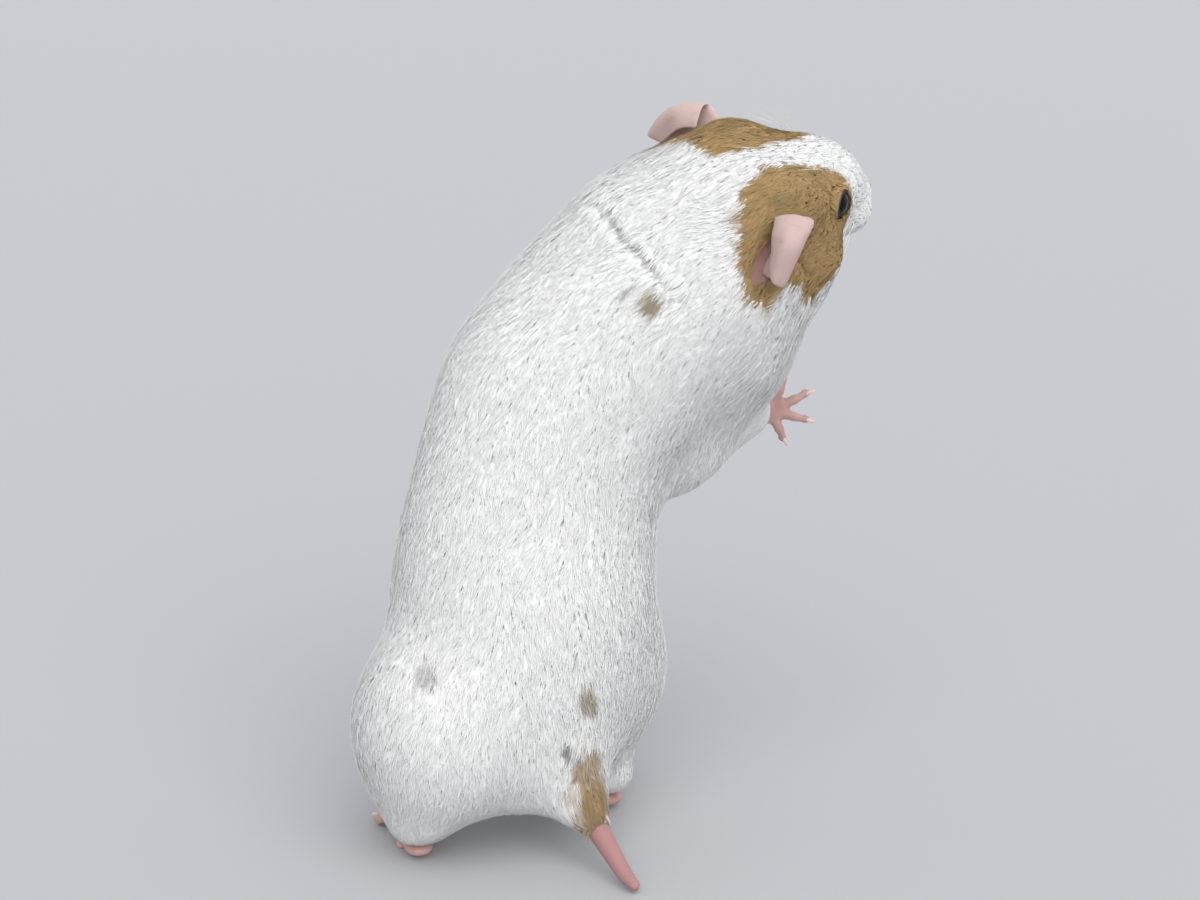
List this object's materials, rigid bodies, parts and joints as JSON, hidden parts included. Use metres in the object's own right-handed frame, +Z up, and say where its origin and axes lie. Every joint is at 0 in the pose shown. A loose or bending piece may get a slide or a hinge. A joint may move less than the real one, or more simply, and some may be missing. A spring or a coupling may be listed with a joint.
{
  "type": "syrian hamster",
  "caption": "Life-size still model of a Syrian hamster reared up on its hind legs, fore paws raised, head turned to its right; white coat with tan patches.",
  "frame": {"origin": "centre of the animal's box on the floor that it stands on", "axes": "+Z up, the belly faces +Y, the back faces -Y, the animal's right side faces +X, where the head is turned"},
  "size_m": [0.0968, 0.0718, 0.1328],
  "materials": {
    "coat_white": "short dense white fur",
    "coat_tan": "short dense golden tan fur",
    "bare_skin": "soft matt pink skin of ears, paws, tail and nose",
    "eye": "wet gloss black",
    "claw": "translucent pale horn",
    "whisker": "fine stiff white hair"
  },
  "bodies": {
    "root": {"foreleg_right": "coat_white", "foreleg_left": "coat_white", "shank_left": "coat_white", "shank_right": "coat_white", "thigh_left": "coat_white", "thigh_right": "coat_white", "head": "coat_tan", "neck": "coat_white", "chest": "coat_white", "abdomen": "coat_white", "rump": "coat_white", "tail": "bare_skin", "eye_left": "eye", "forepaw_left": "bare_skin", "hindfoot_left": "bare_skin", "ear_left": "bare_skin", "eye_right": "eye", "forepaw_right": "bare_skin", "hindfoot_right": "bare_skin", "ear_right": "bare_skin"}
  },
  "joints": []
}
